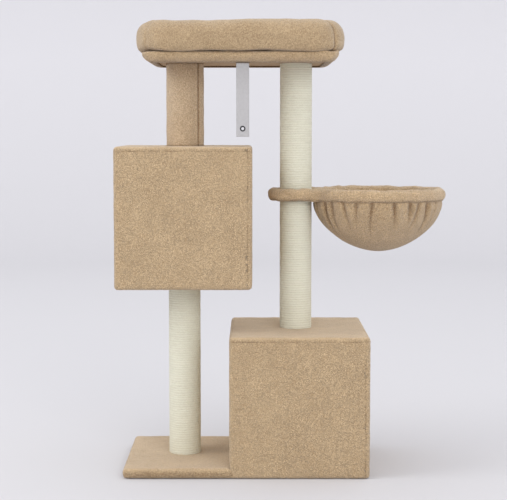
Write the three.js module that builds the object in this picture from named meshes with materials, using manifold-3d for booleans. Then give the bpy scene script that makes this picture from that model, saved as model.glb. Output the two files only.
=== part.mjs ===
// Cat tree: a plush base, two condos, two posts, a padded top bed, a swivelling basket and a wall strap.
// Millimetres, +Z up. The wall side is -Y and the cat's entrances face +Y.
// The drawing starts near the middle of the base, and the last lines centre it on its outer box.

import * as THREE from 'three';
import { mergeVertices } from 'three/addons/utils/BufferGeometryUtils.js';
import Module from 'manifold-3d';

const wasm = await Module();
wasm.setup();

// ---- driving dimensions ----

const gap = 0.3; // space left between pieces that touch
const plush = 3.5; // thickness of the plush fabric
const liningThickness = 3;
const wall = 9; // condo side panels
const slab = 12; // condo panels that carry a post

const base = { left: -266.5, right: 261.5, depth: 350, board: 15.7, hem: 2.2, hemWidth: 40 };
base.top = base.hem + gap + base.board + gap + plush;

const lowerCondo = { left: -38.3, right: 261.7, halfDepth: 175, bottom: base.top + gap, top: 304 };
const upperCondo = { left: -283.5, right: 10.5, halfDepth: 150, bottom: 402, top: 707 };
const entranceRadius = 90;
const bindingThickness = 3.2;

const leftPostX = -140;
const rightPostX = 107;
const sisalRadius = 35.2;
const sisalCore = 29.9;
const plushPostRadius = 40.8;
const plushCore = 35.2;
const coreWall = 4;
const plugHeight = 20;

const bed = { x: -14.5, bottom: 884, boardBottom: 888, board: 15, coverTop: 907, bolsterTop: 974 };
bed.boardHalf = { x: 188, y: 138 };
bed.coverHalf = { x: 203, y: 153 };
bed.bolsterHalf = { x: 225, y: 175 };
bed.bolsterWidth = 74;
bed.padTop = 942;
bed.padClearance = 8; // from the pad's core to the bolster
bed.hem = { x: 15, y: 32 }; // how far the cover folds in under the board
bed.round = { cover: 9, bolster: 26, pad: 7 };
bed.corner = { cover: 30, bolster: 50, pad: 20 };

const basketHeight = 600.3; // middle of the hoop
const bowlOffset = 182; // bowl centre from the post's axis
const hoopRadius = 136;
const collarRadius = 48.4; // hoop's small ring, round the post
const sleeveHalf = { width: 12.7, height: 14 };
const wireRadius = 4;
const bracket = { width: 30, thickness: 3 };
const pouch = { radius: 140.5, depth: 112, thickness: 4, roundness: 1.82 };

const strap = { x: -9.4, y: -143, width: 27.3, thickness: 1.8, pivot: 882.5, bottom: 727.7 };
const strapTab = { start: 3, end: 37, belowPivot: 1.5 };
const strapScrew = { y: strap.y + 20, bore: 2.3, radius: 2, headRadius: 5, headHeight: 2.4, depth: 13 };
const eyelet = { z: 745, hole: 3.1, barrel: 3.9, flange: 6, flangeThickness: 0.6 };

const bolt = { radius: 4, headRadius: 7, headHeight: 4.5, bore: 4.3, reach: 28 };
const studReach = 32; // half the length of the stud between the right post's sections
const washer = { radius: 9, thickness: 1.5 };
const counterbore = { radius: 9.3, condo: 5, base: 8, bed: 5 };

// How many flat facets stand for each kind of round.
const facets = { round: 24, small: 12, entrance: 32, hoop: 36, collar: 24, sleeve: 8, wire: 6 };

// ---- materials ----

const material = (color, roughness, metalness = 0) =>
  new THREE.MeshStandardMaterial({ color, roughness, metalness });

const plushFabric = material(0xc0a380, 0.95);
const liningFabric = material(0xc4a987, 0.95);
const sisal = material(0xddd5c6, 0.9);
const chipboard = material(0xb99565, 0.8);
const cardboard = material(0xa98a62, 0.85);
const zincSteel = material(0xb8babd, 0.35, 1);
const blackSteel = material(0x2b2b2d, 0.5, 0.6);
const webbing = material(0xc9c7c8, 0.8);

// ---- geometry helpers ----

const tree = new THREE.Group();
tree.name = 'cat_tree';

/** Keeps only position and merges the shared corners, so that a shape is one closed skin. */
function closed(geometry) {
  geometry.deleteAttribute('normal');
  geometry.deleteAttribute('uv');
  return mergeVertices(geometry, 1e-4);
}

function toSolid(geometry) {
  const skin = closed(geometry);
  return new wasm.Manifold(
    new wasm.Mesh({
      numProp: 3,
      vertProperties: new Float32Array(skin.attributes.position.array),
      triVerts: new Uint32Array(skin.index.array),
    }),
  );
}

function toGeometry(solid) {
  const mesh = solid.getMesh();
  const geometry = new THREE.BufferGeometry();
  geometry.setAttribute('position', new THREE.BufferAttribute(mesh.vertProperties, 3));
  geometry.setIndex(new THREE.BufferAttribute(mesh.triVerts, 1));
  return geometry;
}

/** The first shape with the others cut away. */
function cut(shape, ...tools) {
  const result = tools.reduce((solid, tool) => solid.subtract(toSolid(tool)), toSolid(shape));
  return toGeometry(result);
}

function join(...shapes) {
  const [first, ...rest] = shapes.map(toSolid);
  return toGeometry(rest.reduce((solid, other) => solid.add(other), first));
}

function box(x, y, z) {
  const geometry = new THREE.BoxGeometry(x[1] - x[0], y[1] - y[0], z[1] - z[0]);
  return geometry.translate((x[0] + x[1]) / 2, (y[0] + y[1]) / 2, (z[0] + z[1]) / 2);
}

/** A solid of revolution about a vertical axis; points are [radius, height]. */
function turned(points, x = 0, y = 0, segments = facets.round) {
  const profile = points.map(([r, z]) => new THREE.Vector2(r, z));
  const geometry = new THREE.LatheGeometry(profile, segments);
  return geometry.rotateX(Math.PI / 2).translate(x, y, 0);
}

function rod(radius, z, x = 0, y = 0, segments = facets.round) {
  return turned([[0, z[0]], [radius, z[0]], [radius, z[1]], [0, z[1]]], x, y, segments);
}

function pipe(outer, inner, z, x = 0, y = 0, segments = facets.round) {
  const profile = [[inner, z[0]], [outer, z[0]], [outer, z[1]], [inner, z[1]], [inner, z[0]]];
  return turned(profile, x, y, segments);
}

/** Lays an upright round shape along Y, for the entrances and the eyelet. */
function alongY(geometry, x, y, z) {
  return geometry.rotateX(-Math.PI / 2).translate(x, y, z);
}

function roundedOutline(halfX, halfY, radius, Outline = THREE.Shape) {
  const outline = new Outline();
  outline.moveTo(halfX, -halfY + radius);
  outline.lineTo(halfX, halfY - radius);
  outline.absarc(halfX - radius, halfY - radius, radius, 0, Math.PI / 2);
  outline.lineTo(-halfX + radius, halfY);
  outline.absarc(-halfX + radius, halfY - radius, radius, Math.PI / 2, Math.PI);
  outline.lineTo(-halfX, -halfY + radius);
  outline.absarc(-halfX + radius, -halfY + radius, radius, Math.PI, 1.5 * Math.PI);
  outline.lineTo(halfX - radius, -halfY);
  outline.absarc(halfX - radius, -halfY + radius, radius, 1.5 * Math.PI, 2 * Math.PI);
  return outline;
}

/** An upright slab with softened edges; round is how far the edges are rounded. */
function cushion(outline, z, round, x = 0, y = 0) {
  const geometry = new THREE.ExtrudeGeometry(outline, {
    depth: z[1] - z[0] - 2 * round,
    bevelThickness: round,
    bevelSize: round,
    bevelSegments: 2,
    curveSegments: 4,
  });
  return geometry.translate(x, y, z[0] + round);
}

function add(name, geometry, finish) {
  const mesh = new THREE.Mesh(closed(geometry), finish);
  mesh.name = name;
  tree.add(mesh);
}

// ---- base ----

function addBase() {
  const halfY = base.depth / 2;
  const cloth = plush + gap;
  const boardX = [base.left + cloth, base.right - cloth];
  const boardY = halfY - cloth;
  const boardZ = [base.hem + gap, base.hem + gap + base.board];
  const boltHole = rod(bolt.bore, [-1, base.top + 1], leftPostX, 0, facets.small);

  add('base_board', cut(
    box(boardX, [-boardY, boardY], boardZ),
    boltHole,
    rod(counterbore.radius, [-1, boardZ[0] + counterbore.base], leftPostX),
  ), chipboard);

  const roomX = [base.left + plush, base.right - plush];
  const roomY = halfY - plush;
  const hemX = [base.left + base.hemWidth, base.right - base.hemWidth];
  const hemY = halfY - base.hemWidth;
  add('base_cover', cut(
    box([base.left, base.right], [-halfY, halfY], [0, base.top]),
    box(roomX, [-roomY, roomY], [base.hem, boardZ[1] + gap]),
    box(hemX, [-hemY, hemY], [-1, base.hem + 1]),
    boltHole,
  ), plushFabric);
}

// ---- condos ----

/** The hole that a cat goes in by, through everything between two depths. */
function entranceHole(x, z, radius, y) {
  return alongY(rod(radius, [0, y[1] - y[0]], 0, 0, facets.entrance), x, y[0], z);
}

/** One condo: panels, plush cover, lining and the binding round its entrance. */
function addCondo(prefix, condo, boltXs, hasFloor) {
  const { left, right, halfDepth, bottom, top } = condo;
  const skin = plush + gap;
  const centreX = (left + right) / 2;
  const panelX = [left + skin, right - skin];
  const panelY = halfDepth - skin;
  const topZ = [top - skin - slab, top - skin];
  const floorZ = [bottom + skin, bottom + skin + slab];
  const wallZ = [hasFloor ? floorZ[1] + gap : bottom, topZ[0] - gap];
  const entranceZ = (wallZ[0] + wallZ[1]) / 2;
  const doorway = () => (
    entranceHole(centreX, entranceZ, entranceRadius + bindingThickness + gap, [0, halfDepth + 1])
  );
  const holes = boltXs.map((x) => rod(bolt.bore, [bottom - 1, top + 1], x, 0, facets.small));

  add(`${prefix}_left_panel`, box([panelX[0], panelX[0] + wall], [-panelY, panelY], wallZ), chipboard);
  add(`${prefix}_right_panel`, box([panelX[1] - wall, panelX[1]], [-panelY, panelY], wallZ), chipboard);

  const betweenX = [panelX[0] + wall + gap, panelX[1] - wall - gap];
  add(`${prefix}_back_panel`, box(betweenX, [-panelY, -panelY + wall], wallZ), chipboard);
  add(`${prefix}_entrance_panel`, cut(
    box(betweenX, [panelY - wall, panelY], wallZ),
    doorway(),
  ), chipboard);

  const seats = boltXs.map((x) => rod(counterbore.radius, [topZ[0] - 1, topZ[0] + counterbore.condo], x));
  add(`${prefix}_top_panel`, cut(box(panelX, [-panelY, panelY], topZ), ...holes, ...seats), chipboard);
  if (hasFloor) {
    const floorSeats = boltXs.map((x) => (
      rod(counterbore.radius, [floorZ[1] - counterbore.condo, floorZ[1] + 1], x)
    ));
    add(`${prefix}_bottom_panel`, cut(box(panelX, [-panelY, panelY], floorZ), ...holes, ...floorSeats),
      chipboard);
  }

  const cavityBottom = hasFloor ? bottom + plush : bottom - 1;
  add(`${prefix}_cover`, cut(
    box([left, right], [-halfDepth, halfDepth], [bottom, top]),
    box([left + plush, right - plush], [-halfDepth + plush, halfDepth - plush], [cavityBottom, top - plush]),
    doorway(),
    ...holes,
  ), plushFabric);

  const liningY = panelY - wall - gap;
  const roomX = [betweenX[0] + liningThickness, betweenX[1] - liningThickness];
  const roomY = liningY - liningThickness;
  const roomBottom = hasFloor ? wallZ[0] + liningThickness : wallZ[0] - 1;
  const accessHoles = boltXs.map((x) => rod(counterbore.radius, [bottom - 1, top + 1], x));
  add(`${prefix}_lining`, cut(
    box(betweenX, [-liningY, liningY], wallZ),
    box(roomX, [-roomY, roomY], [roomBottom, wallZ[1] - liningThickness]),
    doorway(),
    ...accessHoles,
  ), liningFabric);

  add(`${prefix}_entrance_binding`, alongY(
    pipe(entranceRadius + bindingThickness, entranceRadius, [0, halfDepth - roomY], 0, 0, facets.entrance),
    centreX, roomY, entranceZ,
  ), plushFabric);
}

// ---- posts ----

/** One post section: cardboard core, wrap and the two end plugs that take the bolts. */
function addPostSection(name, x, z, outerRadius, coreRadius, wrapFinish) {
  const plugRadius = coreRadius - coreWall - gap;
  add(`${name}_core`, pipe(coreRadius, coreRadius - coreWall, z, x), cardboard);
  add(`${name}_wrap`, pipe(outerRadius, coreRadius + gap, z, x), wrapFinish);
  add(`${name}_bottom_plug`, pipe(plugRadius, bolt.bore, [z[0], z[0] + plugHeight], x), chipboard);
  add(`${name}_top_plug`, pipe(plugRadius, bolt.bore, [z[1] - plugHeight, z[1]], x), chipboard);
}

// ---- fasteners ----

/** A bolt whose head bears at headZ and whose shank ends at tipZ, above or below it. */
function addBolt(name, x, headZ, tipZ) {
  const direction = Math.sign(tipZ - headZ);
  const headEnd = headZ - direction * bolt.headHeight;
  const profile = [
    [0, headEnd],
    [bolt.headRadius, headEnd],
    [bolt.headRadius, headZ],
    [bolt.radius, headZ],
    [bolt.radius, tipZ],
    [0, tipZ],
  ];
  add(name, turned(direction > 0 ? profile : profile.reverse(), x, 0, facets.small), zincSteel);
}

/** A bolt with a washer under its head; seatZ is the face that the washer bears on. */
function addBoltWithWasher(name, x, seatZ, tipZ) {
  const direction = Math.sign(tipZ - seatZ);
  const near = seatZ - direction * gap;
  const far = near - direction * washer.thickness;
  const washerZ = [Math.min(near, far), Math.max(near, far)];
  addBolt(`${name}_bolt`, x, far - direction * gap, tipZ);
  add(`${name}_washer`, pipe(washer.radius, bolt.bore, washerZ, x, 0, facets.small), zincSteel);
}

function addFasteners(posts) {
  const { reach } = bolt;
  const boardBottom = base.hem + gap;
  addBoltWithWasher('base_post', leftPostX, boardBottom + counterbore.base, posts.leftLower[0] + reach);

  const floorTop = upperCondo.bottom + plush + gap + slab;
  addBoltWithWasher('upper_condo_floor', leftPostX, floorTop - counterbore.condo, posts.leftLower[1] - reach);

  const upperCeiling = upperCondo.top - plush - gap - slab;
  addBoltWithWasher('upper_condo_ceiling', leftPostX, upperCeiling + counterbore.condo,
    posts.leftUpper[0] + reach);

  const lowerCeiling = lowerCondo.top - plush - gap - slab;
  addBoltWithWasher('lower_condo_ceiling', rightPostX, lowerCeiling + counterbore.condo,
    posts.rightLower[0] + reach);

  const bedSeat = bed.boardBottom + bed.board - counterbore.bed;
  addBolt('bed_left_bolt', leftPostX, bedSeat + gap, posts.leftUpper[1] - reach);
  addBolt('bed_right_bolt', rightPostX, bedSeat + gap, posts.rightUpper[1] - reach);

  const studZ = [basketHeight - studReach, basketHeight + studReach];
  add('basket_stud', rod(bolt.radius, studZ, rightPostX, 0, facets.small), zincSteel);
}

// ---- bed ----

function addBed() {
  const boardZ = [bed.boardBottom, bed.boardBottom + bed.board];
  const boltHoles = [leftPostX, rightPostX].map((x) => (
    rod(bolt.bore, [bed.bottom, bed.coverTop], x, 0, facets.small)
  ));
  const headSeats = [leftPostX, rightPostX].map((x) => (
    rod(counterbore.radius, [boardZ[1] - counterbore.bed, boardZ[1] + 1], x)
  ));
  const { boardHalf, coverHalf, bolsterHalf, bolsterWidth, round, corner, hem } = bed;
  const boardX = [bed.x - boardHalf.x, bed.x + boardHalf.x];
  const screwHoleZ = [bed.bottom - 1, boardZ[0] + strapScrew.depth];
  const screwHole = rod(strapScrew.bore, screwHoleZ, strap.x, strapScrew.y, facets.small);
  add('bed_board', cut(
    box(boardX, [-boardHalf.y, boardHalf.y], boardZ),
    ...boltHoles,
    ...headSeats,
    screwHole,
  ), chipboard);

  const coverOutline = roundedOutline(coverHalf.x - round.cover, coverHalf.y - round.cover, corner.cover);
  add('bed_board_cover', cut(
    cushion(coverOutline, [bed.bottom, bed.coverTop], round.cover, bed.x),
    box([boardX[0] - gap, boardX[1] + gap], [-boardHalf.y - gap, boardHalf.y + gap],
      [boardZ[0] - gap, boardZ[1] + gap]),
    box([boardX[0] + hem.x, boardX[1] - hem.x], [-boardHalf.y + hem.y, boardHalf.y - hem.y],
      [bed.bottom - 1, boardZ[0]]),
    screwHole,
  ), plushFabric);

  const restZ = bed.coverTop + gap;
  const bolster = roundedOutline(
    bolsterHalf.x - round.bolster,
    bolsterHalf.y - round.bolster,
    corner.bolster,
  );
  const wellHalf = { x: bolsterHalf.x - bolsterWidth, y: bolsterHalf.y - bolsterWidth };
  const well = roundedOutline(
    wellHalf.x + round.bolster,
    wellHalf.y + round.bolster,
    corner.bolster,
    THREE.Path,
  );
  bolster.holes.push(well);
  add('bed_bolster', cushion(bolster, [restZ, bed.bolsterTop], round.bolster, bed.x), plushFabric);

  const pad = roundedOutline(wellHalf.x - bed.padClearance, wellHalf.y - bed.padClearance, corner.pad);
  add('bed_pad', cushion(pad, [restZ, bed.padTop], round.pad, bed.x), plushFabric);
}

// ---- basket ----

/** A ring of oval section lying flat; the section's half sizes are across and upright. */
function ring(radius, halfWidth, halfHeight, x, around, sides) {
  const points = [];
  for (let i = 0; i <= sides; i += 1) {
    const angle = (2 * Math.PI * i) / sides;
    points.push([radius + halfWidth * Math.cos(angle), basketHeight + halfHeight * Math.sin(angle)]);
  }
  points[sides] = [...points[0]];
  return turned(points, x, 0, around);
}

/** The hoop's outline, large ring and collar, with a given section. */
function hoopShape(halfWidth, halfHeight, sides) {
  return join(
    ring(hoopRadius, halfWidth, halfHeight, rightPostX + bowlOffset, facets.hoop, sides),
    ring(collarRadius, halfWidth, halfHeight, rightPostX, facets.collar, sides),
  );
}

function addBasket() {
  add('basket_hoop', hoopShape(wireRadius, wireRadius, facets.wire), blackSteel);

  const halfPlate = bracket.thickness / 2;
  const wireRoom = hoopShape(wireRadius + gap, wireRadius + gap, facets.wire);
  const plateLeft = rightPostX - collarRadius + wireRadius + gap;
  const plateRight = rightPostX + bowlOffset - hoopRadius - wireRadius - gap;
  const plateZ = [basketHeight - halfPlate, basketHeight + halfPlate];
  add('basket_bracket', cut(
    box([plateLeft, plateRight], [-bracket.width / 2, bracket.width / 2], plateZ),
    rod(bolt.bore, [basketHeight - 5, basketHeight + 5], rightPostX),
    wireRoom,
  ), blackSteel);

  const slot = box(
    [plateLeft - 3, plateRight + 3],
    [-bracket.width / 2 - gap, bracket.width / 2 + gap],
    [plateZ[0] - gap, plateZ[1] + gap],
  );
  add('basket_sleeve', cut(
    hoopShape(sleeveHalf.width, sleeveHalf.height, facets.sleeve),
    wireRoom,
    slot,
    rod(sisalRadius + 2 * gap, [basketHeight - 20, basketHeight + 20], rightPostX),
  ), plushFabric);

  const pouchTop = basketHeight - sleeveHalf.height - gap;
  add('basket_pouch', turned(pouchProfile(pouchTop), rightPostX + bowlOffset, 0, facets.hoop),
    plushFabric);
}

/** The pouch's section: an outer curve from the middle up to the rim, and the same curve inside it. */
function pouchProfile(top) {
  const steps = 6;
  const curve = (radius, depth) => {
    const points = [];
    for (let i = 0; i <= steps; i += 1) {
      const angle = (Math.PI / 2) * (i / steps);
      const power = 2 / pouch.roundness;
      const r = radius * Math.sin(angle) ** power;
      const z = top - depth * Math.cos(angle) ** power;
      points.push([i === 0 ? 0 : r, i === steps ? top : z]);
    }
    return points;
  };
  const outer = curve(pouch.radius, pouch.depth);
  const inner = curve(pouch.radius - pouch.thickness, pouch.depth - pouch.thickness);
  return [...outer, ...inner.reverse()];
}

// ---- wall strap ----

function addStrap() {
  const halfWidth = strap.width / 2;
  const halfThickness = strap.thickness / 2;
  const tabZ = [bed.bottom - gap - strap.thickness, bed.bottom - gap];
  const tabY = [strap.y + strapTab.start, strap.y + strapTab.end];
  add('strap_tab', cut(
    box([strap.x - halfWidth, strap.x + halfWidth], tabY, tabZ),
    rod(strapScrew.bore, [tabZ[0] - 1, tabZ[1] + 1], strap.x, strapScrew.y, facets.small),
  ), webbing);

  const headTop = tabZ[0] - gap;
  const screwTip = bed.boardBottom + strapScrew.depth - 1;
  add('strap_screw', turned([
    [0, headTop - strapScrew.headHeight],
    [strapScrew.headRadius, headTop - strapScrew.headHeight],
    [strapScrew.headRadius, headTop],
    [strapScrew.radius, headTop],
    [strapScrew.radius, screwTip],
    [0, screwTip],
  ], strap.x, strapScrew.y, facets.small), zincSteel);

  const webbingY = [strap.y - halfThickness, strap.y + halfThickness];
  const webbingX = [strap.x - halfWidth, strap.x + halfWidth];
  add('strap_webbing', cut(
    box(webbingX, webbingY, [strap.bottom, strap.pivot - strapTab.belowPivot]),
    alongY(rod(eyelet.barrel + gap, [0, 10], 0, 0, facets.small), strap.x, strap.y - 5, eyelet.z),
  ), webbing);

  const inner = halfThickness + gap;
  const outer = inner + eyelet.flangeThickness;
  add('strap_eyelet', alongY(turned([
    [eyelet.hole, -outer],
    [eyelet.flange, -outer],
    [eyelet.flange, -inner],
    [eyelet.barrel, -inner],
    [eyelet.barrel, inner],
    [eyelet.flange, inner],
    [eyelet.flange, outer],
    [eyelet.hole, outer],
    [eyelet.hole, -outer],
  ], 0, 0, facets.small), strap.x, strap.y, eyelet.z), zincSteel);
}

// ---- assembly ----

const postEnds = {
  leftLower: [base.top + gap, upperCondo.bottom - gap],
  leftUpper: [upperCondo.top + gap, bed.boardBottom - gap],
  rightLower: [lowerCondo.top + gap, basketHeight - bracket.thickness / 2 - gap],
  rightUpper: [basketHeight + bracket.thickness / 2 + gap, bed.boardBottom - gap],
};

addBase();
addCondo('lower_condo', lowerCondo, [rightPostX], false);
addCondo('upper_condo', upperCondo, [leftPostX], true);
addPostSection('left_lower_post', leftPostX, postEnds.leftLower, sisalRadius, sisalCore, sisal);
addPostSection('left_upper_post', leftPostX, postEnds.leftUpper, plushPostRadius, plushCore, plushFabric);
addPostSection('right_lower_post', rightPostX, postEnds.rightLower, sisalRadius, sisalCore, sisal);
addPostSection('right_upper_post', rightPostX, postEnds.rightUpper, sisalRadius, sisalCore, sisal);
addFasteners(postEnds);
addBed();
addBasket();
addStrap();

const rightEnd = rightPostX + bowlOffset + hoopRadius + sleeveHalf.width;
tree.position.x = -(upperCondo.left + rightEnd) / 2;
tree.updateMatrixWorld(true);

export default tree;
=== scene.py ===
"""Cat tree: plush, sisal and webbing surfaces, built round the packed frame. Lengths are in metres."""

import math
import random

import bmesh
import bpy
from bpy.props import FloatProperty, FloatVectorProperty, IntProperty, PointerProperty
from mathutils import Matrix, Vector, noise


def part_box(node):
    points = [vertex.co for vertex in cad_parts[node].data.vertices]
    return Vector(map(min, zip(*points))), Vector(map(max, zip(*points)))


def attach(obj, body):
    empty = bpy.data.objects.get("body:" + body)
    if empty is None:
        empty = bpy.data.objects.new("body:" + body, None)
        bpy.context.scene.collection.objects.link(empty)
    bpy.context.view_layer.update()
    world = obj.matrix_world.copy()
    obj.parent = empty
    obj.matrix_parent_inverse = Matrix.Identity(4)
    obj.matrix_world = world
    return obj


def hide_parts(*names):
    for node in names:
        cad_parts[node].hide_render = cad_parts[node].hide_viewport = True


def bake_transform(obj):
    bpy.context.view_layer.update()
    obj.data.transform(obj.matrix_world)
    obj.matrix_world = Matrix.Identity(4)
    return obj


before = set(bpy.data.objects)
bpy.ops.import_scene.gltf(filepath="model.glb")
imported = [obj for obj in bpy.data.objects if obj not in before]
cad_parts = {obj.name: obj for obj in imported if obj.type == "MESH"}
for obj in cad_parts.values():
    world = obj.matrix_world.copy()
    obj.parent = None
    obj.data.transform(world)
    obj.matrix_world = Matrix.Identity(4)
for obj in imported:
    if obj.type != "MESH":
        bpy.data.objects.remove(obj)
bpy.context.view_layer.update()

bl_info = {
    "name": "Cat tree",
    "version": (1, 0, 0),
    "blender": (4, 5, 0),
    "location": "View3D > Sidebar > Cat tree",
    "description": "Builds the plush, sisal and webbing of a cat tree round its frame",
    "category": "Object",
}

UP = Vector((0, 0, 1))
ACROSS = Vector((1, 0, 0))
WALLWARD = Vector((0, -1, 0))
STUFFING_FRAMES = 20
SEAM_WIDTH = 0.0018
SEAM_DEPTH = 0.0009


# ---- settings ----


def colour(name, description, default):
    return FloatVectorProperty(
        name=name, description=description, default=default, subtype="COLOR", size=3, min=0, max=1
    )


def length(name, description, default):
    return FloatProperty(
        name=name, description=description, default=default, subtype="DISTANCE", unit="LENGTH"
    )


class CatTreePlush(bpy.types.PropertyGroup):
    """The plush fabric"""

    tint: colour("Colour", "Colour of the lit pile", (0.66, 0.49, 0.295))
    # Shade is the colour the plush darkens to: painted shade between the curls and in folds and seams, and
    # darker fibres and patches.
    shade: colour("Shade", "Colour between the curls", (0.24, 0.145, 0.07))
    curl: length("Curl", "Size of one curl of the pile", 0.0031)
    corner: length("Corner", "Rounding of a covered board's edges", 0.008)
    cuts: IntProperty(name="Cuts", description="Cuts along each side of a covered box", default=84)


class CatTreeSisal(bpy.types.PropertyGroup):
    """The rope wound on the posts"""

    tint: colour("Colour", "Colour of the rope", (0.79, 0.778, 0.635))
    # Shade is the colour of the painted shade between the turns, and of the darker fibres.
    shade: colour("Shade", "Colour between the turns", (0.47, 0.42, 0.31))
    rope: length("Rope", "Height of one turn of rope", 0.0052)
    relief: length("Relief", "Depth of the groove between turns", 0.0009)


class CatTreeBed(bpy.types.PropertyGroup):
    """The padded bed on top"""

    flare: length("Flare", "How far the board's cover widens towards the bolster", 0.0058)
    lump: length("Lump", "Unevenness of the stuffing", 0.0028)


class CatTreeBasket(bpy.types.PropertyGroup):
    """The hoop basket"""

    pleats: IntProperty(name="Pleats", description="Gathers round the pouch", default=26, min=6, max=80)
    pleat_depth: length("Pleat depth", "Depth of the gathers under the rim", 0.0085)
    neck: length("Neck", "Radius of the bend between the collar and the large ring", 0.040)


class CatTreeStage(bpy.types.PropertyGroup):
    """Camera, lights and backdrop"""

    distance: length("Distance", "From the camera to the middle of the tree", 3.292)
    height: length("Height", "Height of the camera", 0.746)
    side: length("Side", "Sideways place of the camera", -0.0637)
    pitch: FloatProperty(
        name="Pitch", description="Tilt of the camera", default=0.0818, subtype="ANGLE", unit="ROTATION"
    )
    lens: FloatProperty(name="Lens", description="Focal length in millimetres", default=105.5)
    key: FloatProperty(name="Key", description="Power of the key light in watts", default=110.0)
    backdrop: colour("Backdrop", "Colour of the floor and wall", (0.645, 0.64, 0.658))


# ---- materials ----


class Shader:
    """A material's node tree, built one node at a time; the last step joins it to a Principled shader."""

    def __init__(self, name, roughness, metallic=0.0, sheen=0.0):
        self.material = bpy.data.materials.new(name)
        self.material.use_nodes = True
        self.tree = self.material.node_tree
        self.surface = self.tree.nodes["Principled BSDF"]
        self.surface.inputs["Roughness"].default_value = roughness
        self.surface.inputs["Metallic"].default_value = metallic
        self.surface.inputs["Sheen Weight"].default_value = sheen
        self.surface.inputs["Sheen Roughness"].default_value = 0.5
        self.surface.inputs["Specular IOR Level"].default_value = 0.5 if metallic else 0.2
        self.place = self.node("ShaderNodeTexCoord").outputs["Object"]

    def node(self, kind, **settings):
        made = self.tree.nodes.new(kind)
        for key, value in settings.items():
            setattr(made, key, value)
        return made

    def fill(self, socket, value):
        if isinstance(value, bpy.types.NodeSocket):
            self.tree.links.new(value, socket)
        else:
            socket.default_value = value

    def mapping(self, vector, scale=(1, 1, 1), location=(0, 0, 0)):
        made = self.node("ShaderNodeMapping")
        self.fill(made.inputs["Vector"], vector)
        made.inputs["Scale"].default_value = scale
        made.inputs["Location"].default_value = location
        return made.outputs["Vector"]

    def stored(self, name):
        """The number that a mesh keeps on its vertices under this name."""
        return self.node("ShaderNodeAttribute", attribute_name=name).outputs["Fac"]

    def parts(self, vector):
        """The X, Y and Z of a place."""
        made = self.node("ShaderNodeSeparateXYZ")
        self.fill(made.inputs[0], vector)
        return made.outputs

    def noise(self, vector, scale, detail=2.0, colourful=False):
        made = self.node("ShaderNodeTexNoise")
        self.fill(made.inputs["Vector"], vector)
        made.inputs["Scale"].default_value = scale
        made.inputs["Detail"].default_value = detail
        return made.outputs["Color" if colourful else "Fac"]

    def cells(self, vector, scale, feature="F1"):
        made = self.node("ShaderNodeTexVoronoi", feature=feature)
        self.fill(made.inputs["Vector"], vector)
        made.inputs["Scale"].default_value = scale
        return made.outputs["Distance"]

    def math(self, operation, first, second=0.0, third=0.0):
        made = self.node("ShaderNodeMath", operation=operation)
        for socket, value in zip(made.inputs, (first, second, third)):
            self.fill(socket, value)
        return made.outputs[0]

    def vector_math(self, operation, first, second=(0, 0, 0), scale=None):
        made = self.node("ShaderNodeVectorMath", operation=operation)
        self.fill(made.inputs[0], first)
        self.fill(made.inputs[1], second)
        if scale is not None:
            self.fill(made.inputs["Scale"], scale)
        return made.outputs[0]

    def warp(self, vector, scale, amount):
        """The same place, pushed about by a slow noise, so that a pattern swirls."""
        swirl = self.noise(vector, scale, 1.0, colourful=True)
        centred = self.vector_math("SUBTRACT", swirl, (0.5, 0.5, 0.5))
        return self.vector_math("ADD", vector, self.vector_math("SCALE", centred, scale=amount))

    def range(self, value, low, high, out_low=0.0, out_high=1.0):
        made = self.node("ShaderNodeMapRange")
        for socket, number in zip(made.inputs, (value, low, high, out_low, out_high)):
            self.fill(socket, number)
        return made.outputs[0]

    def mix(self, factor, first, second):
        made = self.node("ShaderNodeMix", data_type="RGBA")
        self.fill(made.inputs["Factor"], factor)
        self.fill(made.inputs["A"], (*first, 1) if isinstance(first, tuple) else first)
        self.fill(made.inputs["B"], (*second, 1) if isinstance(second, tuple) else second)
        return made.outputs["Result"]

    def bump(self, height, distance, strength=1.0, below=None):
        made = self.node("ShaderNodeBump")
        made.inputs["Distance"].default_value = distance
        made.inputs["Strength"].default_value = strength
        self.fill(made.inputs["Height"], height)
        if below is not None:
            self.fill(made.inputs["Normal"], below)
        return made.outputs["Normal"]

    def finish(self, base, normal=None):
        self.fill(self.surface.inputs["Base Color"], base)
        if normal is not None:
            self.fill(self.surface.inputs["Normal"], normal)
        return self.material


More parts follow.
